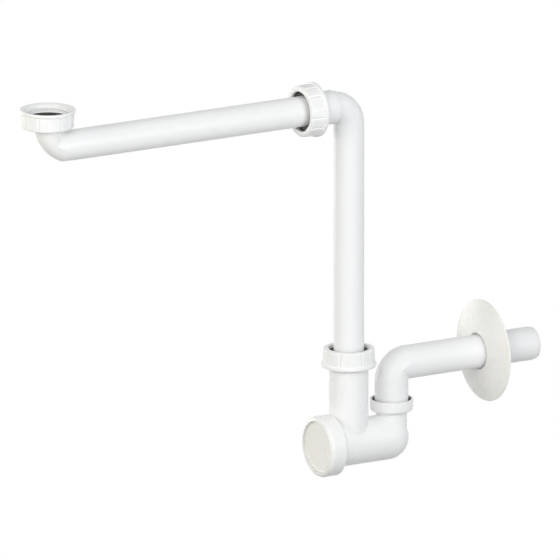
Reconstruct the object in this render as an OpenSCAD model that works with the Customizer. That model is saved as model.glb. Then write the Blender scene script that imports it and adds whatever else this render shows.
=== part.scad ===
// Space saving sink trap.
// A union nut takes the sink waste, a long level arm runs back to a down pipe, and the
// pipe drops into a compact trap body whose riser feeds the outlet through the wall.
// Origin: centre of the inlet, on the washer face that the waste lands on. +Z is up,
// +X runs along the arm to the wall.

/* [Layout] */
// Level distance from the inlet axis to the down pipe axis
arm_reach = 329.5; // [280:0.5:420]
// Height of the arm axis above the chamber axis
trap_drop = 329.5; // [270:0.5:450]
// Level distance from the body tube axis to the riser axis
riser_offset = 47.3; // [46:0.1:60]
// Height of the outlet axis above the chamber axis
outlet_rise = 70; // [68:0.5:95]
// Level distance from the riser axis to the end of the outlet pipe
outlet_reach = 156.5; // [140:0.5:240]

/* [Waste pipes] */
// Outside diameter of the arm and of the down pipe
pipe_d = 29; // [28:0.1:30]
// Wall of the arm, the elbow and the down pipe
pipe_wall = 1.8; // [1.4:0.1:2.4]
// Outside diameter of the outlet pipe
outlet_d = 32; // [31:0.1:33]
// Wall of the outlet pipe
outlet_wall = 1.8; // [1.4:0.1:2.4]
// Radius inside the throat of the down bend
down_throat = 3.5; // [2:0.1:9]
// Radius inside the throat of the outlet bend's heel
outlet_throat = 1; // [0.6:0.1:8]
// Length of the rounded end of each plain pipe
pipe_end_l = 4; // [2:0.5:6]

/* [Inlet elbow] */
// Amount by which the upright neck is smaller in radius than the arm
neck_step = 1.1; // [0.6:0.1:1.8]
// Amount by which the arm's root at the heel is smaller in radius than the arm
root_step = 1; // [0.5:0.1:1.5]
// Outer radius of the rounded heel
heel_r = 44; // [40:0.5:60]
// Height above the arm axis at which the heel starts to curve, short of its radius
heel_drop = 17.4; // [17.2:0.1:18]
// Height of the inlet seat above the start of the heel
neck_l = 3.4; // [3.4:0.1:20]
// Play between the flange that the nut pulls up and the crests of the nut's thread
flange_play = 0.35; // [0.2:0.05:1]
// Thickness of that flange
flange_t = 2.6; // [1.6:0.1:3]
// Thickness of the inlet washer
washer_t = 3.2; // [2:0.1:3.2]

/* [Union nuts] */
// Height of every union nut
nut_h = 17.6; // [16.6:0.1:22]
// Wall of a nut round its thread
nut_wall = 3.1; // [2.4:0.1:5]
// Height by which the ring round a nut's open end stands out
nut_ring_step = 1.2; // [0.6:0.1:3]
// Height of that ring
nut_ring_h = 3.2; // [2:0.1:5]
// Number of grip grooves round a nut
nut_grooves = 14; // [8:1:20]
// Depth of a grip groove
groove_depth = 0.8; // [0.4:0.1:1.1]
// Radius of a grip groove
groove_r = 1.5; // [1:0.1:2.5]
// Width of the sloping mouth inside the inlet nut's ring
inlet_mouth_w = 3.8; // [0.7:0.1:4.2]
// Depth of that sloping mouth
inlet_mouth_h = 1.3; // [0.7:0.1:2.4]
// Thickness of a nut's inward lip
nut_lip_t = 3.5; // [2:0.1:4]
// Thread diameter at the bottom of the inlet nut's thread, for a 1 1/4 inch waste
inlet_thread_d = 41.9; // [40:0.1:43]
// Radius by which a slip joint's threaded collar stands out of the body tube
collar_step = 1.85; // [1.6:0.05:3]
// Depth of the threads
thread_depth = 1.4; // [0.8:0.1:1.8]
// Width of the lip that a slip joint nut turns in over its rings
nut_rim = 2.7; // [1.6:0.1:5]

/* [Slip joints] */
// Thickness of the stiff slip ring
slip_ring_t = 2.5; // [1.5:0.1:4]
// Height by which the wedge seal stands proud of its seat
seal_proud = 1.2; // [0.6:0.1:2]
// Depth of the tapered seal seat
seat_depth = 6.3; // [4:0.1:9]
// Radius by which the seal seat opens up towards its mouth
seat_step = 2.05; // [1.2:0.05:2.6]
// Distance from the down pipe axis to the mouth of the arm socket
arm_mouth = 46.7; // [42:0.1:70]
// Wall of the sleeve behind the arm socket
sleeve_wall = 1.5; // [1.2:0.1:2.4]
// Length of arm inside its socket, past the mouth
arm_insert = 18; // [15:0.5:40]
// Length of down pipe inside the body tube, past the mouth
pipe_insert = 38; // [20:0.5:55]

/* [Trap body] */
// Height of the body tube's mouth above the chamber axis
body_mouth = 84.8; // [80:0.1:120]
// Outside diameter of the body tube
body_d = 37.3; // [37:0.1:40]
// Wall of the body tube, the chamber and the riser
body_wall = 2; // [1.6:0.1:2.4]
// Outside diameter of the level chamber
chamber_d = 43.7; // [42:0.1:46]
// Distance from the riser axis back to the centre of the chamber's round end
dome_back = 6.5; // [4:0.1:9]
// Outside diameter of the riser
riser_d = 29.4; // [27:0.1:30]
// Height above the chamber's bore of the ledge that stops the down pipe
stop_step = 3.15; // [2.7:0.05:8]
// Width of that ledge inside the pipe's outside
stop_ledge = 1.3; // [0.8:0.1:2]
// Height of the dip wall's lower edge above the chamber axis
dip_rise = 6; // [2:0.5:10]
// Thickness of the dip wall
dip_t = 2; // [1.5:0.1:3]
// Height of the bead below the body tube's thread
bead_h = 3; // [1.5:0.1:5]
// Amount by which that bead stands out of the tube
bead_proud = 0.5; // [0.3:0.1:1]

/* [Push-fit socket] */
// Width of the room for the seal round the outlet bend
seal_room = 2.95; // [2:0.05:4]
// Wall of the socket round its seal
socket_wall = 1.55; // [1.4:0.05:3]
// Height of the socket's underside above the chamber
socket_step = 3.35; // [2:0.05:8]
// Height of the socket
socket_h = 11.5; // [10:0.1:16]
// Radius of the socket's lower edge
socket_round = 3; // [1:0.1:4]
// Height of the guide that centres the pipe below the seal
guide_h = 2.6; // [1.5:0.1:5]
// Height of the lip seal
lip_seal_h = 5.8; // [3:0.1:6.4]

/* [Cleaning cap] */
// Distance between the back of the cap ring and the body tube
cap_clear = 0.4; // [0.3:0.1:12]
// Radius by which the threaded cleaning mouth stands out of the chamber
cap_step = 3.65; // [2:0.05:6]
// Wall of the cap ring round its thread
cap_wall = 2.3; // [1.8:0.1:5]
// Length of the cap ring
cap_l = 16.8; // [14:0.1:20]
// Radius of the cap ring's front edge
cap_round = 4.4; // [1:0.1:4.5]
// Thickness of the cap ring's lip
cap_lip_t = 2.8; // [2:0.1:4]
// Width of the cap ring's front round the plug
cap_rim = 4.6; // [3:0.1:8]
// Depth at which the plug's face lies behind the ring's front
plug_sunk = 2; // [0.5:0.1:2.4]
// Thickness of the plug's flange
plug_flange_t = 2.5; // [2:0.1:4]
// Length of the plug's spigot inside the chamber
spigot_l = 7; // [4:0.5:7]
// Thickness of the flat cap seal
cap_seal_t = 2; // [1.5:0.1:3]

/* [Wall rosette] */
// Outside diameter of the rosette
rosette_d = 97.5; // [80:0.5:120]
// Radial play of the rosette on the outlet pipe
rosette_play = 0.95; // [0.7:0.05:1]
// Distance from the riser axis to the rosette's back face
rosette_x = 102.9; // [90:0.1:106]
// Height of the rosette's dome
rosette_rise = 7; // [4:0.1:12]
// Wall of the rosette
rosette_t = 1.2; // [1:0.1:2.4]

/* [Clearances] */
// Radial clearance between a pipe and its seal
seal_gap = 0.05; // [0.02:0.01:0.1]
// Gap between stacked rings and between loose fitting pieces
seat_gap = 0.3; // [0.1:0.05:0.4]
// Radial clearance of a pipe in a guide bore
guide_gap = 0.2; // [0.1:0.05:0.3]

/* [Hidden] */

$fn = 96;
white = [0.94, 0.94, 0.93];
rubber = [0.10, 0.10, 0.11];
black = [0.07, 0.07, 0.075];
overrun = 1;
edge = 0.7;

inlet_rise = heel_r - heel_drop + neck_l;
arm_z = -inlet_rise;
chamber_z = arm_z - trap_drop;
outlet_z = chamber_z + outlet_rise;
riser_x = arm_reach + riser_offset;
outlet_end_x = riser_x + outlet_reach;

pipe_r = pipe_d / 2;
outlet_r = outlet_d / 2;
neck_r = pipe_r - neck_step;
root_r = pipe_r - root_step;
heel_rise = heel_r - heel_drop;
heel_run = heel_r - root_r;
down_bend_r = pipe_r + down_throat;
outlet_bend_r = outlet_r + outlet_throat;
sleeve_r = pipe_r + guide_gap + sleeve_wall;
body_r = body_d / 2;
body_bore_r = body_r - body_wall;
chamber_r = chamber_d / 2;
chamber_bore_r = chamber_r - body_wall;
dome_x = riser_offset - dome_back;
riser_r = riser_d / 2;
stop_r = pipe_r - stop_ledge;
stop_rise = chamber_bore_r + stop_step;
socket_rise = chamber_r + socket_step;
socket_bore_r = outlet_r + seal_room;
socket_r = socket_bore_r + socket_wall;

// Nuts
slip_collar_r = body_r + collar_step;
slip_bore_r = slip_collar_r + thread_depth;
inlet_bore_r = inlet_thread_d / 2;
flange_r = inlet_bore_r - thread_depth - flange_play;
nut_r = max(slip_bore_r, inlet_bore_r) + nut_wall;
nut_ring_r = nut_r + nut_ring_step;
arm_nut_turn = -5.5;

// Slip joint, measured outwards from the mouth of its socket
slip_ring_z = seal_proud + seat_gap;
slip_nut_top = slip_ring_z + slip_ring_t + seat_gap + nut_lip_t;
slip_nut_z = slip_nut_top - nut_h;
slip_collar_l = -slip_nut_z - seat_gap;
seat_r = body_bore_r + seat_step;

// Inlet joint, measured from the washer's upper face
inlet_flange_z = -washer_t - flange_t;
inlet_nut_low = inlet_flange_z - seat_gap - nut_lip_t;

// Cleaning cap, measured outwards from the mouth of the chamber
cap_flange_z = seat_gap + cap_seal_t;
cap_lip_z = cap_flange_z + plug_flange_t + seat_gap;
cap_front = cap_lip_z + cap_lip_t;
cap_back = cap_front - cap_l;
cap_mouth = body_r + cap_clear - cap_back;
cap_neck_r = chamber_r + cap_step;
cap_bore_r = cap_neck_r + thread_depth;
cap_r = cap_bore_r + cap_wall;
cap_hole_r = cap_r - cap_rim;
cap_neck_l = -cap_back - seat_gap;
plug_spigot_r = chamber_bore_r - seat_gap;

// Frames whose +Z points out of a joint's mouth
module at_arm_joint() { translate([arm_reach - arm_mouth, 0, arm_z]) rotate([0, -90, 0]) children(); }
module at_body_joint() { translate([arm_reach, 0, chamber_z + body_mouth]) children(); }
module at_cap_joint() { translate([arm_reach - cap_mouth, 0, chamber_z]) rotate([0, -90, 0]) children(); }
module at_riser() { translate([riser_x, 0, chamber_z]) children(); }

// A rod along +X
module rod_x(x, z, r, l) { translate([x, 0, z]) rotate([0, 90, 0]) cylinder(r = r, h = l); }

// A quarter turn of round bar about a Y axis through the origin, from angle a on
module quarter(centreline_r, r, a) {
    rotate([90, 0, 0]) rotate_extrude(angle = 90, start = a) translate([centreline_r, 0]) circle(r = r);
}

// Half profile of a turned bar with rounded edges, from height z0 to z1
module bar_profile(r, z0, z1, low_r, high_r) {
    translate([0, z0]) square([r - low_r, low_r]);
    translate([0, z0 + low_r]) square([r, z1 - z0 - low_r - high_r]);
    translate([0, z1 - high_r]) square([r - high_r, high_r]);
    translate([r - low_r, z0 + low_r]) circle(r = low_r);
    translate([r - high_r, z1 - high_r]) circle(r = high_r);
}

// Grooved nut: open end at z = 0, lip at z = nut_h, its mouth w wide and h deep
module grooved_nut(bore_r, hole_r, w, h) {
    draft = 0.5;
    top_r = nut_r - draft - edge;
    difference() {
        rotate_extrude() union() {
            bar_profile(nut_ring_r, 0, nut_ring_h, edge, edge);
            polygon([[0, nut_ring_h], [nut_r, nut_ring_h], [top_r + edge, nut_h - edge],
                     [top_r, nut_h - edge], [top_r, nut_h], [0, nut_h]]);
            translate([top_r, nut_h - edge]) circle(r = edge);
        }
        for (i = [0 : nut_grooves - 1])
            rotate((i + 0.5) * 360 / nut_grooves)
                translate([nut_r + groove_r - groove_depth, 0, nut_ring_h])
                    rotate([0, -atan(draft / nut_h), 0]) cylinder(r = groove_r, h = nut_h, $fn = 24);
        translate([0, 0, -overrun]) cylinder(r = bore_r, h = nut_h - nut_lip_t + overrun);
        translate([0, 0, -overrun]) cylinder(r1 = bore_r + w * (1 + overrun / h), r2 = bore_r, h = h + overrun);
        translate([0, 0, -overrun]) cylinder(r = hole_r, h = nut_h + 2 * overrun);
        translate([0, 0, nut_h - edge])
            cylinder(r1 = hole_r, r2 = hole_r + edge + overrun, h = edge + overrun);
    }
}

// Wedge seal of a slip joint, z = 0 at the mouth of the socket
module wedge_seal() {
    inner_r = pipe_r + seal_gap;
    outer_r = seat_r - seat_gap;
    foot_r = body_bore_r - seat_gap;
    rotate_extrude() polygon([[inner_r, seal_proud - edge], [inner_r + edge, seal_proud], [outer_r, seal_proud],
                              [outer_r, 0], [foot_r, seat_gap - seat_depth], [inner_r, seat_gap - seat_depth]]);
}

// Stiff ring that the nut's lip presses on the wedge seal
module slip_ring() {
    difference() {
        translate([0, 0, slip_ring_z]) cylinder(r = slip_collar_r + thread_depth - seat_gap, h = slip_ring_t);
        cylinder(r = pipe_r + seat_gap, h = slip_ring_z + slip_ring_t + overrun);
    }
}

// Threaded end of a slip joint's socket, without its bore
module slip_collar() {
    rotate_extrude() bar_profile(slip_collar_r, -slip_collar_l, 0, edge / 2, edge);
}

// Tapered seat for the wedge seal
module seal_seat() {
    taper = (seat_r - body_bore_r) / seat_depth;
    translate([0, 0, -seat_depth])
        cylinder(r1 = body_bore_r, r2 = seat_r + taper * overrun, h = seat_depth + overrun);
}

module inlet_nut() {
    color(white) {
        translate([0, 0, inlet_nut_low + nut_h]) rotate([180, 0, 0])
            grooved_nut(inlet_bore_r, neck_r + 2 * seat_gap, inlet_mouth_w, inlet_mouth_h);
        // Plain seat below the thread, round the flange and its washer
        translate([0, 0, inlet_nut_low + nut_lip_t / 2]) difference() {
            cylinder(r = inlet_bore_r + edge, h = -inlet_nut_low - nut_lip_t / 2);
            translate([0, 0, -overrun])
                cylinder(r = flange_r + seat_gap, h = -inlet_nut_low + overrun);
        }
    }
}

module inlet_washer() {
    color(rubber) translate([0, 0, -washer_t]) difference() {
        cylinder(r = flange_r, h = washer_t);
        translate([0, 0, -overrun]) cylinder(r = neck_r - pipe_wall + edge, h = washer_t + 2 * overrun);
    }
}

// Body that the heel's outside follows, its surface lowered by w
module heel_envelope(w) {
    bar_r = pipe_r + 0.1;
    centreline_r = heel_r - bar_r;
    translate([heel_run, 0, arm_z + heel_rise]) rotate([90, 0, 0])
        rotate_extrude(angle = 90, start = 180) union() {
            translate([centreline_r, 0]) circle(r = bar_r - w);
            translate([0, -2 * root_r]) square([centreline_r, 4 * root_r]);
        }
}

// Elbow and tapered root of the arm, their surface lowered by w
module elbow_form(w) {
    intersection() {
        union() {
            translate([0, 0, arm_z]) cylinder(r = neck_r - w, h = heel_rise);
            translate([-neck_r, 0, arm_z]) rotate([0, 90, 0])
                cylinder(r1 = root_r - w, r2 = pipe_r - w, h = neck_r + heel_run);
        }
        heel_envelope(w);
    }
    translate([0, 0, arm_z + heel_rise]) cylinder(r = neck_r - w, h = -washer_t - arm_z - heel_rise);
    rod_x(heel_run, arm_z, pipe_r - w, arm_reach - arm_mouth + arm_insert - pipe_end_l - heel_run);
}

module inlet_arm() {
    end_x = arm_reach - arm_mouth + arm_insert;
    color(white) difference() {
        union() {
            elbow_form(0);
            translate([0, 0, inlet_flange_z]) cylinder(r = flange_r, h = flange_t);
            translate([end_x - pipe_end_l, 0, arm_z]) rotate([0, 90, 0])
                cylinder(r1 = pipe_r, r2 = pipe_r - pipe_wall / 2, h = pipe_end_l);
        }
        elbow_form(pipe_wall);
        translate([0, 0, inlet_flange_z]) cylinder(r = neck_r - pipe_wall, h = flange_t + overrun);
        rod_x(end_x - pipe_end_l, arm_z, pipe_r - pipe_wall, pipe_end_l + overrun);
    }
}

module arm_nut() {
    color(white) at_arm_joint() translate([0, 0, slip_nut_z]) rotate(arm_nut_turn)
        grooved_nut(slip_bore_r, slip_bore_r - nut_rim, edge, edge);
}

module arm_slip_ring() { color(black) at_arm_joint() slip_ring(); }

module arm_seal() { color(rubber) at_arm_joint() wedge_seal(); }

module down_bend() {
    bend_x = arm_reach - down_bend_r;
    bend_z = arm_z - down_bend_r;
    end_z = chamber_z + body_mouth - pipe_insert;
    stop_x = bend_x - pipe_wall;
    blend_l = 2 * down_bend_r / 3;
    bore_r = pipe_r - pipe_wall;
    color(white) difference() {
        union() {
            at_arm_joint() slip_collar();
            rod_x(arm_reach - arm_mouth, arm_z, sleeve_r, arm_mouth - down_bend_r - pipe_wall);
            translate([stop_x, 0, arm_z]) rotate([0, 90, 0])
                cylinder(r1 = sleeve_r, r2 = bore_r, h = blend_l);
            rod_x(stop_x, arm_z, pipe_r, pipe_wall);
            translate([bend_x, 0, bend_z]) quarter(down_bend_r, pipe_r, 0);
            translate([arm_reach, 0, end_z + pipe_end_l]) cylinder(r = pipe_r, h = bend_z - end_z - pipe_end_l);
            translate([arm_reach, 0, end_z])
                cylinder(r1 = pipe_r - pipe_wall / 2, r2 = pipe_r, h = pipe_end_l);
        }
        at_arm_joint() seal_seat();
        rod_x(arm_reach - arm_mouth - overrun, arm_z, pipe_r + guide_gap,
              arm_mouth - down_bend_r - pipe_wall + overrun);
        rod_x(stop_x - overrun, arm_z, bore_r, pipe_wall + overrun);
        translate([bend_x, 0, bend_z]) quarter(down_bend_r, bore_r, 0);
        translate([arm_reach, 0, end_z - overrun]) cylinder(r = bore_r, h = bend_z - end_z + overrun);
    }
}

module body_nut() {
    color(white) at_body_joint() translate([0, 0, slip_nut_z])
        grooved_nut(slip_bore_r, slip_bore_r - nut_rim, edge, edge);
}

module body_slip_ring() { color(black) at_body_joint() slip_ring(); }

module body_seal() { color(rubber) at_body_joint() wedge_seal(); }

// Half ball on a rod's end, facing +X
module dome_x_end(x, r) {
    translate([x, 0, chamber_z]) rotate([0, 90, 0])
        rotate_extrude() intersection() {
            circle(r = r);
            square(r);
        }
}

module chamber_form(r) {
    rod_x(arm_reach - cap_mouth, chamber_z, r, cap_mouth + dome_x);
    dome_x_end(arm_reach + dome_x, r);
}

module socket_cup() {
    rotate_extrude() bar_profile(socket_r, socket_rise, socket_rise + socket_h, socket_round, edge / 2);
}

// Wall that hangs from the chamber's roof and keeps the water seal
module dip_wall() {
    wall_x = arm_reach + (stop_r + riser_offset - riser_r + body_wall) / 2;
    intersection() {
        rod_x(wall_x - dip_t / 2, chamber_z, chamber_r - body_wall / 2, dip_t);
        translate([wall_x - dip_t, -chamber_r, chamber_z + dip_rise])
            cube([2 * dip_t, chamber_d, chamber_r]);
    }
}

module trap_body() {
    floor_z = socket_rise + body_wall;
    color(white) {
        difference() {
            union() {
                chamber_form(chamber_r);
                at_cap_joint() translate([0, 0, -cap_neck_l])
                    cylinder(r = cap_neck_r, h = cap_neck_l);
                translate([arm_reach, 0, chamber_z]) cylinder(r = body_r, h = body_mouth);
                at_body_joint() slip_collar();
                at_body_joint() translate([0, 0, slip_nut_z - bead_h])
                    cylinder(r = body_r + bead_proud, h = bead_h);
                at_riser() cylinder(r = riser_r, h = socket_rise + body_wall / 2);
                at_riser() socket_cup();
            }
            chamber_form(chamber_bore_r);
            rod_x(arm_reach - cap_mouth - overrun, chamber_z, chamber_bore_r, 2 * overrun);
            translate([arm_reach, 0, chamber_z]) cylinder(r = stop_r, h = body_mouth);
            translate([arm_reach, 0, chamber_z + stop_rise])
                cylinder(r = body_bore_r, h = body_mouth - stop_rise - seat_depth);
            at_body_joint() seal_seat();
            at_riser() cylinder(r = riser_r - body_wall, h = floor_z + overrun);
            at_riser() translate([0, 0, floor_z]) cylinder(r = outlet_r + guide_gap, h = socket_h);
            at_riser() translate([0, 0, floor_z + guide_h]) cylinder(r = socket_bore_r, h = socket_h);
        }
        dip_wall();
    }
}

module cap_ring() {
    color(white) at_cap_joint() difference() {
        rotate_extrude() bar_profile(cap_r, cap_back, cap_front, edge, cap_round);
        cylinder(r = cap_hole_r, h = cap_front + overrun);
        translate([0, 0, cap_back - overrun])
            cylinder(r = cap_bore_r, h = cap_lip_z - cap_back + overrun);
        translate([0, 0, cap_back - overrun])
            cylinder(r1 = cap_bore_r + edge + overrun, r2 = cap_bore_r, h = edge + overrun);
    }
}

module cleaning_plug() {
    face_z = cap_front - plug_sunk;
    face_r = cap_hole_r - seat_gap;
    groove_at = face_r - 2;
    groove_w = 0.8;
    color(white) at_cap_joint() difference() {
        union() {
            translate([0, 0, cap_flange_z]) cylinder(r = cap_bore_r - seat_gap, h = plug_flange_t);
            translate([0, 0, cap_flange_z]) cylinder(r = face_r, h = face_z - cap_flange_z);
            translate([0, 0, -spigot_l]) cylinder(r = plug_spigot_r, h = spigot_l + cap_flange_z);
        }
        translate([0, 0, -spigot_l - overrun])
            cylinder(r = plug_spigot_r - body_wall, h = spigot_l + cap_flange_z + overrun);
        translate([0, 0, face_z - groove_w / 2]) difference() {
            cylinder(r = groove_at + groove_w, h = overrun);
            translate([0, 0, -overrun]) cylinder(r = groove_at, h = 3 * overrun);
        }
    }
}

module cap_seal() {
    color(rubber) at_cap_joint() translate([0, 0, seat_gap]) difference() {
        cylinder(r = cap_neck_r - seat_gap, h = cap_seal_t);
        translate([0, 0, -overrun]) cylinder(r = plug_spigot_r + seat_gap, h = cap_seal_t + 2 * overrun);
    }
}

module outlet_seal() {
    seat_z = socket_rise + body_wall + guide_h;
    inner_r = outlet_r + seal_gap;
    outer_r = socket_bore_r - seal_gap;
    color(rubber) at_riser() translate([0, 0, seat_z]) rotate_extrude()
        polygon([[inner_r, 0], [outer_r, 0], [outer_r, lip_seal_h - edge], [outer_r - edge, lip_seal_h],
                 [inner_r + edge, lip_seal_h], [inner_r, lip_seal_h - edge]]);
}

// Outlet elbow, round outside and sharp in its throat, its surface lowered by w
module outlet_elbow(w) {
    bar_r = outlet_r + 0.1;
    intersection() {
        union() {
            translate([riser_x, 0, outlet_z - outlet_bend_r])
                cylinder(r = outlet_r - w, h = outlet_bend_r + outlet_r);
            rod_x(riser_x - outlet_r, outlet_z, outlet_r - w, outlet_r + outlet_bend_r);
        }
        translate([riser_x + outlet_bend_r, 0, outlet_z - outlet_bend_r]) rotate([90, 0, 0])
            rotate_extrude(angle = 90, start = 90) union() {
                translate([outlet_bend_r, 0]) circle(r = bar_r - w);
                translate([0, -outlet_d]) square([outlet_bend_r, 2 * outlet_d]);
            }
    }
}

module outlet_bend() {
    foot_z = chamber_z + socket_rise + body_wall + seat_gap;
    bend_x = riser_x + outlet_bend_r;
    bend_z = outlet_z - outlet_bend_r;
    bore_r = outlet_r - outlet_wall;
    mark_from_end = 45;
    mark_w = 1;
    mark_depth = 0.3;
    color(white) difference() {
        union() {
            translate([riser_x, 0, foot_z]) cylinder(r = outlet_r, h = bend_z - foot_z);
            outlet_elbow(0);
            rod_x(bend_x, outlet_z, outlet_r, outlet_end_x - pipe_end_l - bend_x);
            translate([outlet_end_x - pipe_end_l, 0, outlet_z]) rotate([0, 90, 0])
                cylinder(r1 = outlet_r, r2 = outlet_r - outlet_wall / 2, h = pipe_end_l);
        }
        translate([riser_x, 0, foot_z - overrun]) cylinder(r = bore_r, h = bend_z - foot_z + overrun);
        outlet_elbow(outlet_wall);
        rod_x(bend_x, outlet_z, bore_r, outlet_end_x - bend_x + overrun);
        translate([outlet_end_x - mark_from_end, 0, outlet_z]) rotate([0, 90, 0]) difference() {
            cylinder(r = outlet_d, h = mark_w);
            translate([0, 0, -overrun]) cylinder(r = outlet_r - mark_depth, h = mark_w + 2 * overrun);
        }
    }
}

// Disc whose front bulges to a height at the bore, as a half profile
module dome_profile(rim_r, bore_r, rise) {
    apex = (pow(rim_r, 2) - pow(bore_r, 2)) / (2 * rise) + rise / 2;
    intersection() {
        translate([0, rise - apex]) circle(r = sqrt(pow(bore_r, 2) + pow(apex, 2)), $fn = 4 * $fn);
        square([rim_r, 2 * rise]);
    }
}

module wall_rosette() {
    rim_r = rosette_d / 2;
    bore_r = outlet_r + rosette_play;
    color(white) translate([riser_x + rosette_x, 0, outlet_z]) rotate([0, -90, 0])
        rotate_extrude() difference() {
            union() {
                square([rim_r, rosette_t]);
                translate([0, rosette_t]) dome_profile(rim_r, bore_r, rosette_rise);
            }
            difference() {
                translate([0, -rosette_t]) dome_profile(rim_r, bore_r, rosette_rise + rosette_t);
                square([bore_r + rosette_t, 2 * rosette_rise]);
            }
            translate([0, -overrun]) square([bore_r, 2 * rosette_rise]);
        }
}

inlet_nut();
inlet_washer();
inlet_arm();
arm_nut();
arm_slip_ring();
arm_seal();
down_bend();
body_nut();
body_slip_ring();
body_seal();
trap_body();
cap_ring();
cleaning_plug();
cap_seal();
outlet_seal();
outlet_bend();
wall_rosette();
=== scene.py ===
from math import atan2, cos, hypot, pi, radians, sin, sqrt, tau

import bmesh
import bpy
from mathutils import Matrix, Vector


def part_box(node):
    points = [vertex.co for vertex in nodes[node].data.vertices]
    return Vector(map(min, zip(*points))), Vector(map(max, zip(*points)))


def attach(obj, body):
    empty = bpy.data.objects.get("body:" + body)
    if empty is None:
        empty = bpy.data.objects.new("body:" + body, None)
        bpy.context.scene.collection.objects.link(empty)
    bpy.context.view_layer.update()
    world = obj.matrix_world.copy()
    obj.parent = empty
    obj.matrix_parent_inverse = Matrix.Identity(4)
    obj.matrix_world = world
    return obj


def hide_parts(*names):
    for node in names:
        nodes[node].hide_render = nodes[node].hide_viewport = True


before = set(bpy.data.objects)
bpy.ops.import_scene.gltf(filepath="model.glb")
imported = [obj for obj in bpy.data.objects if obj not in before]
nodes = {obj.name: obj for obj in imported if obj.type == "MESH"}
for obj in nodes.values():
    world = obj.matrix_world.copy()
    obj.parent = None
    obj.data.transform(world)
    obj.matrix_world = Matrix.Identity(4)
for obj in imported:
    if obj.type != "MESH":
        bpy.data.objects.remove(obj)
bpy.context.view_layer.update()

MM = 0.001
scene = bpy.context.scene

# Camera: it looks slightly down on the trap from the sink's side, from so far away
# that the pipes keep their width, as in the photograph.
view_turn = radians(31)
view_tilt = radians(14.45)
view_distance = 24
view_limit = 100
photo_width_px = 560
px_per_m = 1060
camera_target = Vector((0.2559, 0.0038, -0.1921))
ahead = Vector((sin(view_turn) * cos(view_tilt), cos(view_turn) * cos(view_tilt),
                -sin(view_tilt)))
camera = bpy.data.objects.new("camera", bpy.data.cameras.new("camera"))
scene.collection.objects.link(camera)
scene.camera = camera
camera.location = camera_target - view_distance * ahead
camera.rotation_mode = "QUATERNION"
camera.rotation_quaternion = ahead.to_track_quat("-Z", "Y")
camera.data.lens = view_distance * px_per_m * camera.data.sensor_width / photo_width_px
camera.data.clip_end = view_limit

# Room: a plain pale floor some way below the hanging trap, and white all round. The
# camera and mirror rays see pure white; the world itself lights the object softly.
scene.view_settings.view_transform = "Standard"


def link(tree, start, end):
    tree.links.new(start, end)


def fill_inputs(node, values):
    for socket, value in values.items():
        node.inputs[socket].default_value = value


def new_node(tree, kind, values=None, **settings):
    """Adds a node with these settings and with these plain values in its inputs."""
    made = tree.nodes.new(kind)
    for key, value in settings.items():
        setattr(made, key, value)
    fill_inputs(made, values or {})
    return made


def calculate(tree, operation, *values):
    made = new_node(tree, "ShaderNodeMath", operation=operation)
    for index, value in enumerate(values):
        link(tree, value, made.inputs[index])
    return made.outputs[0]


def white_to_camera(tree, lit_output, surface_input, white_kind):
    """Shows plain white to rays from the camera or a mirror, and the lit surface to the rest."""
    path = new_node(tree, "ShaderNodeLightPath")
    mirrored = calculate(tree, "MAXIMUM", path.outputs["Is Glossy Ray"],
                         path.outputs["Is Transmission Ray"])
    seen = calculate(tree, "MAXIMUM", path.outputs["Is Camera Ray"], mirrored)
    white = new_node(tree, white_kind, {"Color": (1, 1, 1, 1), "Strength": 1})
    mix = new_node(tree, "ShaderNodeMixShader")
    link(tree, seen, mix.inputs["Fac"])
    link(tree, lit_output, mix.inputs[1])
    link(tree, white.outputs[0], mix.inputs[2])
    link(tree, mix.outputs[0], surface_input)


world = bpy.data.worlds.new("studio")
scene.world = world
world.use_nodes = True
sky = world.node_tree
ambient = sky.nodes["Background"]
fill_inputs(ambient, {"Color": (0.96, 0.98, 1.0, 1), "Strength": 0.41})
white_to_camera(sky, ambient.outputs[0], sky.nodes["World Output"].inputs["Surface"],
                "ShaderNodeBackground")

floor_middle = (0.25, 0, -0.86)
floor_half = 6
floor_mesh = bmesh.new()
bmesh.ops.create_grid(floor_mesh, x_segments=1, y_segments=1, size=floor_half,
                      matrix=Matrix.Translation(floor_middle))
floor_data = bpy.data.meshes.new("floor")
floor_mesh.to_mesh(floor_data)
floor_mesh.free()
floor = bpy.data.objects.new("floor", floor_data)
scene.collection.objects.link(floor)
floor_paint = bpy.data.materials.new("pale_floor")
floor_paint.use_nodes = True
floor_tree = floor_paint.node_tree
floor_shader = floor_tree.nodes["Principled BSDF"]
fill_inputs(floor_shader, {"Base Color": (0.4, 0.4, 0.4, 1), "Roughness": 0.8})
white_to_camera(floor_tree, floor_shader.outputs[0],
                floor_tree.nodes["Material Output"].inputs["Surface"], "ShaderNodeEmission")
floor_data.materials.append(floor_paint)

# Each soft lamp: name, place and width in metres, power in watts, colour.
lamp_aim = Vector((0.26, 0, -0.19))
soft_lamps = [
    ("key_lamp", (-1.5, -2.2, 1.15), 1.4, 29, (1, 0.997, 0.985)),
    ("warm_lamp", (-2.26, -0.2, 0.5), 1.4, 18, (1, 0.965, 0.86)),
    ("cool_lamp", (1.0, -2.9, 0.6), 1.6, 33, (0.95, 0.975, 1)),
    ("back_lamp", (-0.6, 2.8, -0.4), 1.8, 24, (1, 0.99, 0.97)),
]
for lamp_name, lamp_place, lamp_width, lamp_power, lamp_colour in soft_lamps:
    light = bpy.data.lights.new(lamp_name, "AREA")
    light.shape = "DISK"
    light.size = lamp_width
    light.energy = lamp_power
    light.color = lamp_colour
    lamp = bpy.data.objects.new(lamp_name, light)
    scene.collection.objects.link(lamp)
    lamp.location = lamp_place
    lamp.rotation_mode = "QUATERNION"
    lamp.rotation_quaternion = (lamp_aim - Vector(lamp_place)).to_track_quat("-Z", "Y")

# Inlet nut: glossy white moulded union nut, open end up. Its thread takes the tail of the
# sink waste, and its lip pulls up the flange of the elbow. Fourteen shallow flutes give grip.


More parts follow.
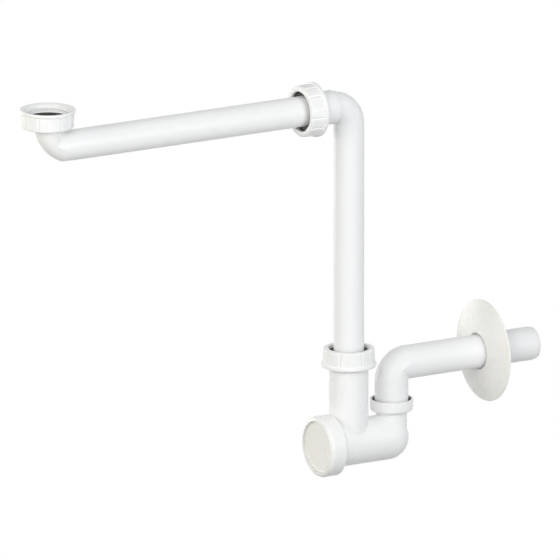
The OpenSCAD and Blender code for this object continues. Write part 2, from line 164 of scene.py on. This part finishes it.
def noise(tree, place, scale, detail):
    made = new_node(tree, "ShaderNodeTexNoise", {"Scale": scale, "Detail": detail})
    link(tree, place, made.inputs["Vector"])
    return made.outputs["Fac"]


def blend_range(tree, value, start, end, **settings):
    """Turns the values from start[0] to start[1] into values from end[0] to end[1]."""
    made = new_node(tree, "ShaderNodeMapRange", {"From Min": start[0], "From Max": start[1],
                                                 "To Min": end[0], "To Max": end[1]}, **settings)
    link(tree, value, made.inputs["Value"])
    return made.outputs[0]


def two_tone(tree, share, first, second):
    made = new_node(tree, "ShaderNodeMix", {6: (*first, 1), 7: (*second, 1)}, data_type="RGBA")
    link(tree, share, made.inputs["Factor"])
    return made.outputs[2]


def raised(tree, height, strength, distance, onto=None):
    made = new_node(tree, "ShaderNodeBump", {"Strength": strength, "Distance": distance})
    link(tree, height, made.inputs["Height"])
    if onto:
        link(tree, onto, made.inputs["Normal"])
    return made.outputs[0]


def new_paint(name):
    paint = bpy.data.materials.new(name)
    paint.use_nodes = True
    tree = paint.node_tree
    return paint, tree, tree.nodes["Principled BSDF"], new_node(tree, "ShaderNodeTexCoord")


def moulded_plastic(name, colour, mottle=0.004, stretch=(1, 1, 1), parting_line=False):
    """White plastic: faint clouds, uneven polish, fine scratches, rippled skin, parting line."""
    cloud_scale = 38
    polish = (0.21, 0.35)
    scratch_turn = (0.6, 0.4, 0.9)
    scratch_stretch = (60, 3500, 3500)
    scratch_edges = (0.62, 0.7)
    scratch_roughness = 0.06
    handled_edges = (0.45, 0.7)
    ripple_scale = 420
    ripple_strength = 0.06
    ripple_depth = 0.4 * MM
    line_strength = 0.5
    line_half_w = 0.35 * MM
    line_h = 0.15 * MM
    paint, tree, shader, place = new_paint(name)
    along = new_node(tree, "ShaderNodeMapping", {"Scale": stretch})
    link(tree, place.outputs["Object"], along.inputs["Vector"])
    cloud = noise(tree, along.outputs[0], cloud_scale, detail=5)
    link(tree, two_tone(tree, cloud, [part - mottle for part in colour],
                        [min(1, part + mottle) for part in colour]), shader.inputs["Base Color"])
    across = new_node(tree, "ShaderNodeMapping", {"Rotation": scratch_turn,
                                                  "Scale": scratch_stretch})
    link(tree, place.outputs["Object"], across.inputs["Vector"])
    streaks = noise(tree, across.outputs[0], 1, detail=1)
    scratches = blend_range(tree, streaks, scratch_edges, (0, scratch_roughness))
    handled = blend_range(tree, cloud, handled_edges, (0, 1))
    worn = calculate(tree, "MULTIPLY", scratches, handled)
    link(tree, calculate(tree, "ADD", blend_range(tree, cloud, (0, 1), polish), worn),
         shader.inputs["Roughness"])
    ripple = noise(tree, along.outputs[0], ripple_scale, detail=3)
    skin = raised(tree, ripple, ripple_strength, ripple_depth)
    if parting_line:
        apart = new_node(tree, "ShaderNodeSeparateXYZ")
        link(tree, place.outputs["Object"], apart.inputs[0])
        from_line = calculate(tree, "ABSOLUTE", apart.outputs["Y"])
        ridge = blend_range(tree, from_line, (0, line_half_w), (1, 0),
                            interpolation_type="SMOOTHSTEP")
        skin = raised(tree, ridge, line_strength, line_h, onto=skin)
    link(tree, skin, shader.inputs["Normal"])
    fill_inputs(shader, {"IOR": 1.49, "Specular IOR Level": 0.22, "Subsurface Weight": 0.08,
                         "Subsurface Radius": (1.0, 0.9, 0.75), "Subsurface Scale": 1.2 * MM})
    return paint


def rounded_outline(corners, start_angle=0.0):
    """Starts a mesh with a closed outline of (radius, height, rounding) corners, in mm."""
    arc_segments = 4
    mesh = bmesh.new()
    points = [mesh.verts.new((radius * MM, 0, height * MM)) for radius, height, _ in corners]
    for index, point in enumerate(points):
        mesh.edges.new((point, points[(index + 1) % len(points)]))
    for point, (_, _, rounding) in zip(points, corners):
        if rounding:
            bmesh.ops.bevel(mesh, geom=[point], offset=rounding * MM, offset_type="OFFSET",
                            segments=arc_segments, profile=0.5, affect="VERTICES",
                            material=-1)
    bmesh.ops.rotate(mesh, matrix=Matrix.Rotation(start_angle, 3, "Z"), verts=mesh.verts)
    return mesh


def spin_about_z(mesh, angle, steps, **how):
    bmesh.ops.spin(mesh, geom=mesh.verts[:] + mesh.edges[:] + mesh.faces[:], cent=(0, 0, 0),
                   axis=(0, 0, 1), angle=angle, steps=steps, **how)


def set_radius(vert, radius, wanted):
    vert.co.x *= wanted / radius
    vert.co.y *= wanted / radius


def thread_ridge(base_r, crest_r, low, high, pitch, root_half=0.75, crest_half=0.35):
    """A right-hand ridge that climbs from low to high and runs out into the wall at its ends."""
    steps_a_turn = 90
    run_out_steps = 30
    end_share = 0.1
    sunk = 0.25
    foot_r = base_r - sunk if crest_r > base_r else base_r + sunk
    middle = low + root_half
    steps = round((high - low - 2 * root_half) / pitch * steps_a_turn)
    section = [(foot_r, -root_half), (crest_r, -crest_half), (crest_r, crest_half),
               (foot_r, root_half)]
    mesh = bmesh.new()
    points = [mesh.verts.new((radius * MM, 0, (middle + rise) * MM)) for radius, rise in section]
    for index, point in enumerate(points):
        mesh.edges.new((point, points[(index + 1) % len(points)]))
    spin_about_z(mesh, tau * steps / steps_a_turn, steps,
                 dvec=(0, 0, pitch / steps_a_turn * MM))
    for index, vert in enumerate(mesh.verts):
        step = index // len(section)
        run_out = min(1.0, step / run_out_steps, (steps - step) / run_out_steps)
        left = end_share + (1 - end_share) * run_out
        centre = (middle + pitch * step / steps_a_turn) * MM
        radius = hypot(vert.co.x, vert.co.y) / MM
        set_radius(vert, radius, foot_r + (radius - foot_r) * left)
        vert.co.z = centre + (vert.co.z - centre) * (1 + left) / 2
    bmesh.ops.edgeloop_fill(mesh, edges=[edge for edge in mesh.edges if edge.is_boundary])
    return mesh


def finish_piece(mesh, name, body, paint, place=Matrix(), stands_for=None):
    """Places a mesh, turns its faces outwards, smooths it and hands it to its body."""
    sharp_from = radians(35)
    bmesh.ops.transform(mesh, matrix=place, verts=mesh.verts)
    bmesh.ops.recalc_face_normals(mesh, faces=mesh.faces)
    for face in mesh.faces:
        face.smooth = True
    for edge in mesh.edges:
        edge.smooth = edge.is_manifold and edge.calc_face_angle() < sharp_from
    data = bpy.data.meshes.new(name)
    mesh.to_mesh(data)
    mesh.free()
    data.materials.append(paint)
    piece = bpy.data.objects.new(name, data)
    scene.collection.objects.link(piece)
    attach(piece, body)
    if stands_for:
        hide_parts(stands_for)


weld = 0.002 * MM
nut_h = 17.6
nut_r = 25.0
nut_draft = 0.5
nut_ring_r = 26.2
nut_ring_h = 3.2
nut_lip_low = nut_h - 3.5
nut_flutes = 14
nut_skin = 2.2
side_heights = (3.6, 4.0, 4.3, 4.6, 5.2, 8, 12, 15.4)
ring_top_gap = 0.05
flute_half_w = 1.5
flute_depth = 0.8
flute_run_out = 0.5
flat_share = 0.3
flat_run_out = 0.8
pocket_half_w = 1.8
pocket_h = 1.3
pocket_depth = 0.5
pocket_side_w = 0.6
lobe = tau / nut_flutes
lobe_steps = 36


def side_inset(above_ring, from_middle):
    """How far a lobe's side is cut back: a flat, a flute at its edge, a pocket over the ring."""
    inset = flat_share * nut_r * (1 - cos(lobe / 2) / cos(from_middle))
    inset *= min(1, above_ring / flat_run_out)
    from_flute = nut_r * (lobe / 2 - abs(from_middle))
    if from_flute < flute_half_w:
        depth = flute_depth * (1 + cos(pi * from_flute / flute_half_w)) / 2
        inset += depth * min(1, above_ring / flute_run_out)
    from_pocket = nut_r * abs(from_middle)
    if from_pocket < pocket_half_w and above_ring < pocket_h:
        inset += pocket_depth * min(1, (pocket_half_w - from_pocket) / pocket_side_w)
    return inset


def fluted_nut(hole_r, inside, turned=0.0):
    """A nut with its open end at Z = 0: one lobe is turned, shaped and repeated round the axis."""
    side = [(nut_r - nut_draft * (height - nut_ring_h) / (nut_h - nut_ring_h), height, 0)
            for height in side_heights]
    mesh = rounded_outline([*inside, (nut_ring_r, 0, 0.7), (nut_ring_r, nut_ring_h, 0.7),
                            (nut_r, nut_ring_h, 0.2), *side, (nut_r - nut_draft, nut_h, 1.4),
                            (hole_r, nut_h, 0.5), (hole_r, nut_lip_low, 0.4)],
                           turned + lobe / 2)
    spin_about_z(mesh, lobe, lobe_steps)
    for vert in mesh.verts:
        radius = hypot(vert.co.x, vert.co.y) / MM
        height = vert.co.z / MM
        if radius < nut_r - nut_skin or height < nut_ring_h + ring_top_gap:
            continue
        from_middle = (atan2(vert.co.y, vert.co.x) - turned + lobe / 2) % lobe - lobe / 2
        set_radius(vert, radius, radius - side_inset(height - nut_ring_h, from_middle))
    spin_about_z(mesh, tau - lobe, nut_flutes - 1, use_duplicate=True)
    bmesh.ops.remove_doubles(mesh, verts=mesh.verts, dist=weld)
    return mesh


nut_plastic = moulded_plastic("nut_white", (0.93, 0.93, 0.925))
inlet_bore_r = 20.95
inlet_crest_r = 19.6
inlet_thread_low = 1.4
inlet_thread_high = 7.9
inlet_pitch = 2.309
inlet_chamfer_w = 3.8
inlet_chamfer_h = 1.3
washer_seat_r = 19.5
waste_hole_r = 14.0
inlet_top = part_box("inlet_nut")[1][2]
seat_at = inlet_top / MM
inlet_place = Matrix.Translation((0, 0, inlet_top)) @ Matrix.Rotation(pi, 4, "X")
inlet_inside = [(washer_seat_r, nut_lip_low, 0.3), (washer_seat_r, seat_at, 0.2),
                (inlet_bore_r, seat_at, 0.2), (inlet_bore_r, inlet_chamfer_h, 0.2),
                (inlet_bore_r + inlet_chamfer_w, 0, 0.2)]
finish_piece(fluted_nut(waste_hole_r, inlet_inside), "inlet_nut_piece", "inlet_nut",
             nut_plastic, inlet_place, "inlet_nut")
inlet_ridge = thread_ridge(inlet_bore_r, inlet_crest_r, inlet_thread_low, inlet_thread_high,
                           inlet_pitch, root_half=0.95, crest_half=0.2)
finish_piece(inlet_ridge, "inlet_nut_thread", "inlet_nut", nut_plastic,
             inlet_place)

# Inlet washer: flat ring stamped from black rubber. It lies loose on the elbow's flange,
# and the sink waste lands on it when the inlet nut is done up.


def dull_black(name, colour, roughness, grain_scale):
    """Black rubber, and black plastic for the slip rings, whose black is painted shade for the nut
    gaps: a dull skin, fine grain and pale bloom.
    """
    bloom_scale = 90
    bare_share, bloomed_share = 0.8, 1.6
    polish = (roughness - 0.08, roughness + 0.1)
    grain_strength = 0.25
    grain_depth = 0.1 * MM
    paint, tree, shader, place = new_paint(name)
    grain = noise(tree, place.outputs["Object"], grain_scale, detail=4)
    bloom = noise(tree, place.outputs["Object"], bloom_scale, detail=2)
    link(tree, two_tone(tree, bloom, [part * bare_share for part in colour],
                        [part * bloomed_share for part in colour]), shader.inputs["Base Color"])
    link(tree, blend_range(tree, bloom, (0, 1), polish), shader.inputs["Roughness"])
    link(tree, raised(tree, grain, grain_strength, grain_depth), shader.inputs["Normal"])
    fill_inputs(shader, {"Specular IOR Level": 0.25})
    return paint


def finish_node(name, paint):
    nodes[name].data.materials.clear()
    nodes[name].data.materials.append(paint)


rubber = dull_black("black_rubber", (0.022, 0.022, 0.024), roughness=0.6, grain_scale=900)
finish_node("inlet_washer", rubber)

# Arm: elbow with a flange and the long level pipe, moulded in one from white plastic.
# The flange hangs in the inlet nut, and the far end slides in the down bend's socket.

arm_plastic = moulded_plastic("arm_white", (0.93, 0.93, 0.925), stretch=(0.12, 1, 1),
                              parting_line=True)
finish_node("inlet_arm", arm_plastic)
neck_r = 13.5
arm_pipe_r = 14.5
arm_z = -30 * MM
throat_reach = 4.2


def throat_fillet(leg_r, pipe_r, reach):
    """The soft corner between a leg along Z and a pipe along X: a grid bent along their joint."""
    half_wrap = radians(86)
    skin = 0.4 * MM
    mesh = bmesh.new()
    bmesh.ops.create_grid(mesh, x_segments=60, y_segments=8, size=1)
    for vert in mesh.verts:
        angle = vert.co.x * half_wrap
        share = (vert.co.y + 1) / 2
        beside = leg_r * sin(angle)
        corner = Vector((leg_r * cos(angle), beside, sqrt(pipe_r ** 2 - beside ** 2)))
        on_leg = corner + Vector((0, 0, reach * cos(angle)))
        on_pipe = corner + Vector((reach * cos(angle), 0, 0))
        vert.co = on_leg.lerp(corner, share).lerp(corner.lerp(on_pipe, share), share) * MM
    bmesh.ops.recalc_face_normals(mesh, faces=mesh.faces)
    if sum(face.normal.x + face.normal.z for face in mesh.faces) < 0:
        bmesh.ops.reverse_faces(mesh, faces=mesh.faces)
    bmesh.ops.solidify(mesh, geom=mesh.faces[:], thickness=skin)
    return mesh


finish_piece(throat_fillet(neck_r, arm_pipe_r, throat_reach), "inlet_arm_throat", "arm",
             arm_plastic, Matrix.Translation((0, 0, arm_z)))

# Arm joint: a fluted nut presses a stiff ring onto the rubber wedge seal round the arm. The ring
#  is drawn black as painted shade for the dark gap inside the nut. The nut is the same moulding as
#  the one on the trap body.

slip_pitch = 3
slip_hole_r = 19.2
slip_bore_r = 21.9
slip_crest_r = 20.7
slip_thread_low = 2.0
slip_thread_high = 10.9
slip_chamfer = 0.7
slip_inside = [(slip_bore_r, nut_lip_low, 0.5), (slip_bore_r, slip_chamfer, 0.2),
               (slip_bore_r + slip_chamfer, 0, 0.2)]
arm_nut_turned = radians(-5.5)
outwards_left = Matrix.Rotation(-pi / 2, 4, "Y")


def slip_nut(name, turned, place):
    finish_piece(fluted_nut(slip_hole_r, slip_inside, turned), f"{name}_piece", name,
                 nut_plastic, place, name)
    ridge = thread_ridge(slip_bore_r, slip_crest_r, slip_thread_low, slip_thread_high, slip_pitch)
    finish_piece(ridge, f"{name}_thread", name, nut_plastic, place)


arm_nut_back = Vector((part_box("arm_nut")[1][0], 0, arm_z))
arm_nut_place = Matrix.Translation(arm_nut_back) @ outwards_left
slip_nut("arm_nut", arm_nut_turned, arm_nut_place)
# The slip rings' black is painted shade: it stands in for the dark gap inside the nut round the
# pipe.
slip_ring_painted_gap_shade = dull_black("slip_ring_black_painted_gap_shade", (0.03, 0.03, 0.032), roughness=0.45,
                          grain_scale=600)
finish_node("arm_slip_ring", slip_ring_painted_gap_shade)
finish_node("arm_seal", rubber)

# Down bend: threaded socket, bend and down pipe, moulded in one from white plastic.
# The nut and seal of the arm joint hold it on the arm. Its pipe stands in the trap body.

bend_plastic = moulded_plastic("bend_white", (0.925, 0.93, 0.93), stretch=(1, 1, 0.12),
                               parting_line=True)
finish_node("down_bend", bend_plastic)
collar_r = 20.5
collar_crest_r = 21.7
collar_thread_low = 0.5
collar_thread_high = 8.9


def collar_ridge():
    return thread_ridge(collar_r, collar_crest_r, collar_thread_low, collar_thread_high,
                        slip_pitch)


finish_piece(collar_ridge(), "arm_socket_thread", "down_pipe", bend_plastic,
             arm_nut_place)

# Body joint: the same white moulded nut, stiff ring and rubber wedge seal stand round the down
# pipe; the ring is
#  drawn black as painted shade for the gap inside the nut. The nut screws down on the thread of
#  the body tube.

down_x = 329.5 * MM
body_nut_place = Matrix.Translation((down_x, 0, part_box("body_nut")[0][2]))
slip_nut("body_nut", 0, body_nut_place)
finish_node("body_slip_ring", slip_ring_painted_gap_shade)
finish_node("body_seal", rubber)

# Trap body: body tube, level chamber, riser and push-fit socket, one moulding of white
# plastic. The slip nut and the cleaning cap screw on its two threads.

body_plastic = moulded_plastic("body_white", (0.93, 0.93, 0.925), parting_line=True)
finish_node("trap_body", body_plastic)
finish_piece(collar_ridge(), "body_tube_thread", "trap", body_plastic,
             body_nut_place)
chamber_z = -359.5 * MM
mouth_from_front = 7.9 * MM
mouth_r = 25.5
mouth_crest_r = 26.7
mouth_thread_low = -8.3
mouth_thread_high = -0.8
mouth_place = Matrix.Translation((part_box("cap_ring")[0][0] + mouth_from_front, 0, chamber_z))
cap_place = mouth_place @ outwards_left
mouth_ridge = thread_ridge(mouth_r, mouth_crest_r, mouth_thread_low, mouth_thread_high,
                           slip_pitch)
finish_piece(mouth_ridge, "cleaning_mouth_thread", "trap", body_plastic,
             cap_place)

# Cleaning cap: a smooth white screw ring with a thread inside. It holds a hollow moulded
# plug on its rubber seal. The plug's sunk face has a groove near its edge and a gate mark.

cap_plastic = moulded_plastic("cap_white", (0.93, 0.93, 0.92))
finish_node("cap_ring", cap_plastic)
cap_bore_r = 26.9
cap_crest_r = 25.7
cap_thread_low = -6.8
cap_thread_high = 1.8
cap_ridge = thread_ridge(cap_bore_r, cap_crest_r, cap_thread_low, cap_thread_high, slip_pitch)
finish_piece(cap_ridge, "cap_ring_thread", "cap", cap_plastic, cap_place)

# The plug's warm beige tint is painted warm shade on its left-facing sunk face; the plug itself is
# white.
plug_painted_warm_shade = moulded_plastic("plug_white_with_painted_warm_shade", (0.925, 0.91, 0.86), mottle=0.002)
plug_steps = 180
plug_edge_r = 24.3
plug_edge_top = 5.9
plug_flange_r = 26.6
plug_flange_top = 4.8
plug_flange_low = 2.3
groove_floor = 5.1
spigot_r = 19.55
spigot_bore_r = 17.55
spigot_end = -7
gate_mark = [(0, 5.55, 0), (0.7, 5.6, 0), (1.3, 5.72, 0), (1.6, 5.5, 0)]
plug_face = [(14, 5.52, 0), (21.6, 5.7, 0)]
plug_groove = [(22.1, groove_floor, 0.15), (22.9, groove_floor, 0.15)]
plug_edge = [(23.2, plug_edge_top, 0.15), (plug_edge_r, plug_edge_top, 0.3),
             (plug_edge_r, plug_flange_top, 0.1)]
plug_flange = [(plug_flange_r, plug_flange_top, 0.3), (plug_flange_r, plug_flange_low, 0.2)]
spigot = [(spigot_r, plug_flange_low, 0.3), (spigot_r, spigot_end, 0.5),
          (spigot_bore_r, spigot_end, 0.5), (spigot_bore_r, plug_flange_low, 0.6),
          (0, plug_flange_low, 0)]
plug = rounded_outline([*gate_mark, *plug_face, *plug_groove, *plug_edge, *plug_flange,
                        *spigot])
on_axis = [edge for edge in plug.edges if all(vert.co.x == 0 for vert in edge.verts)]
bmesh.ops.delete(plug, geom=on_axis, context="EDGES_FACES")
spin_about_z(plug, tau, plug_steps, use_merge=True)
bmesh.ops.remove_doubles(plug, verts=plug.verts, dist=weld)
finish_piece(plug, "cleaning_plug_piece", "plug", plug_painted_warm_shade, cap_place,
             "cleaning_plug")
finish_node("cap_seal", rubber)

# Outlet bend: bend and level pipe, moulded in one from white plastic. The bend pushes
# into the socket's rubber lip seal, and the pipe runs into the drain in the wall.

outlet_plastic = moulded_plastic("outlet_white", (0.93, 0.93, 0.925), stretch=(0.12, 1, 1),
                                 parting_line=True)
finish_node("outlet_bend", outlet_plastic)
finish_node("outlet_seal", rubber)

# Rosette: thin domed cover ring, moulded from white plastic. It slides along the outlet
# pipe until its rim meets the wall.

# The rosette's warm beige tint is painted shade: it stands in for the warm shade on the dome's far
# and lower side.
rosette_painted_warm_shade = moulded_plastic("rosette_white_with_painted_warm_shade", (0.93, 0.924, 0.89), mottle=0.002)
rosette_steps = 240
rosette_r = 48.75
rosette_bore_r = 17.6
rosette_collar_r = 18.8
rosette_foot_r = 45
rosette_t = 1.2
rosette_rise = 7.0
outlet_z = -289.5 * MM


def dome_height(radius, rise):
    """Height of a shallow dome that rises by the given amount from its rim to the bore."""
    below = (rosette_r ** 2 - rosette_bore_r ** 2) / (2 * rise) - rise / 2
    return sqrt(rosette_r ** 2 + below ** 2 - radius ** 2) - below


bore = [(rosette_bore_r, 0, 0.3), (rosette_bore_r, rosette_t + rosette_rise, 0.45)]
face = [(radius, rosette_t + dome_height(radius, rosette_rise), 0)
        for radius in range(20, 48, 2)]
rim = [(rosette_r, rosette_t, 0.45), (rosette_r, 0, 0.25), (rosette_foot_r, 0, 0)]
back = [(radius, dome_height(radius, rosette_rise + rosette_t) - rosette_t, 0)
        for radius in range(43, 19, -3)]
collar = [(rosette_collar_r, rosette_rise, 0.3), (rosette_collar_r, 0, 0.3)]
rosette = rounded_outline([*bore, *face, *rim, *back, *collar])
spin_about_z(rosette, tau, rosette_steps, use_merge=True)
rosette_back = Matrix.Translation((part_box("wall_rosette")[1][0], 0, outlet_z))
finish_piece(rosette, "wall_rosette_piece", "rosette", rosette_painted_warm_shade,
             rosette_back @ outwards_left, "wall_rosette")
